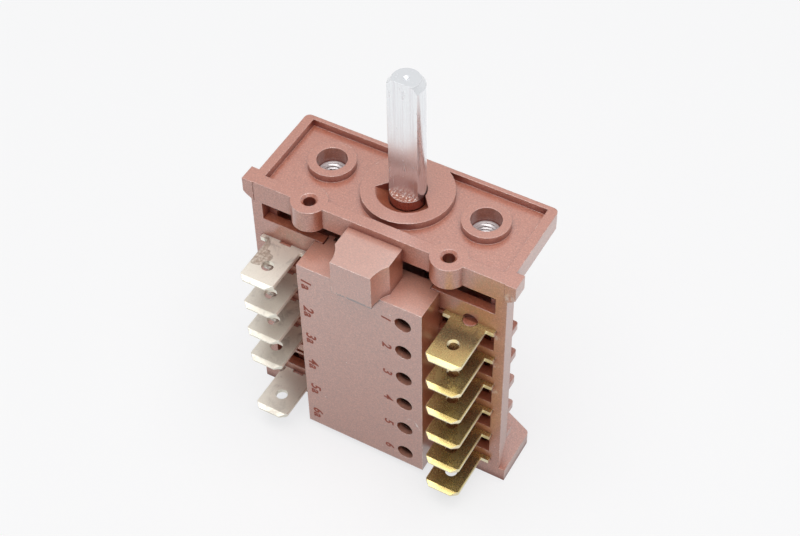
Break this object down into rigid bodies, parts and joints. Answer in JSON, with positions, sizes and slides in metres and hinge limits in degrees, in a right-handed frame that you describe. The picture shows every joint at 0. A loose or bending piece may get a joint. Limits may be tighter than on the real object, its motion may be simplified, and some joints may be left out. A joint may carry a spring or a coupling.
{
  "type": "oven selector switch",
  "caption": "Rotary oven selector switch with a D-shaft on a screw-fixed plate, a pushed-in front cover and rows of push-on blade terminals down its front.",
  "frame": {"origin": "shaft axis on the mounting face", "axes": "+Z along the shaft towards the knob, -Y towards the terminals and cover, +X along the plate to the brass terminals' side"},
  "size_m": [0.049, 0.0278, 0.0743],
  "materials": {
    "moulding": "mineral-filled thermoset, brown-red, dull sheen",
    "shaft_steel": "bright plated steel with draw marks along its length",
    "cam_plastic": "dark brown thermoplastic, guessed, because it is hidden",
    "insert_metal": "zinc-plated",
    "spring_steel": "polished steel",
    "brass_sheet": "bare brass sheet, slightly tarnished",
    "plated_metal": "nickel-plated sheet, warm grey",
    "spring_bronze": "bronze spring sheet",
    "contact_silver": "bright silver"
  },
  "bodies": {
    "housing": {"front_frame": "moulding", "rear_body": "moulding", "front_cover": "moulding", "insert_left": "insert_metal", "insert_right": "insert_metal", "detent_spring": "spring_steel", "level_5_link": "plated_metal", "brass_terminal_1": "brass_sheet", "brass_terminal_2": "brass_sheet", "brass_terminal_3": "brass_sheet", "brass_terminal_4": "brass_sheet", "brass_terminal_5": "brass_sheet", "brass_terminal_6": "brass_sheet", "steel_terminal_1": "plated_metal", "steel_terminal_2": "plated_metal", "steel_terminal_3": "plated_metal", "steel_terminal_4": "plated_metal", "steel_terminal_6": "plated_metal", "contact_spring_1": "spring_bronze", "contact_spring_2": "spring_bronze", "contact_spring_3": "spring_bronze", "contact_spring_4": "spring_bronze", "contact_spring_5": "spring_bronze", "contact_spring_6": "spring_bronze", "fixed_contact_1": "contact_silver", "fixed_contact_2": "contact_silver", "fixed_contact_3": "contact_silver", "fixed_contact_4": "contact_silver", "fixed_contact_5": "contact_silver", "fixed_contact_6": "contact_silver", "moving_contact_1": "contact_silver", "moving_contact_2": "contact_silver", "moving_contact_3": "contact_silver", "moving_contact_4": "contact_silver", "moving_contact_5": "contact_silver", "moving_contact_6": "contact_silver"},
    "rotor": {"shaft": "shaft_steel", "camshaft": "cam_plastic"},
    "detent": {"detent_ball": "spring_steel"}
  },
  "joints": [
    {"name": "shaft_turn", "type": "hinge", "parent": "housing", "child": "rotor", "pos_m": [0, 0, 0], "axis": [0, 0, 1], "continuous": true, "deforming": ["contact_spring_1", "contact_spring_2", "contact_spring_3", "contact_spring_4", "contact_spring_5", "contact_spring_6"]},
    {"name": "detent_lift", "type": "slide", "parent": "housing", "child": "detent", "axis": [0, -1, 0], "range_m": [0, 0.00065], "stiffness_N_per_m": 2600, "springref_m": -0.0012, "deforming": ["detent_spring"]}
  ]
}
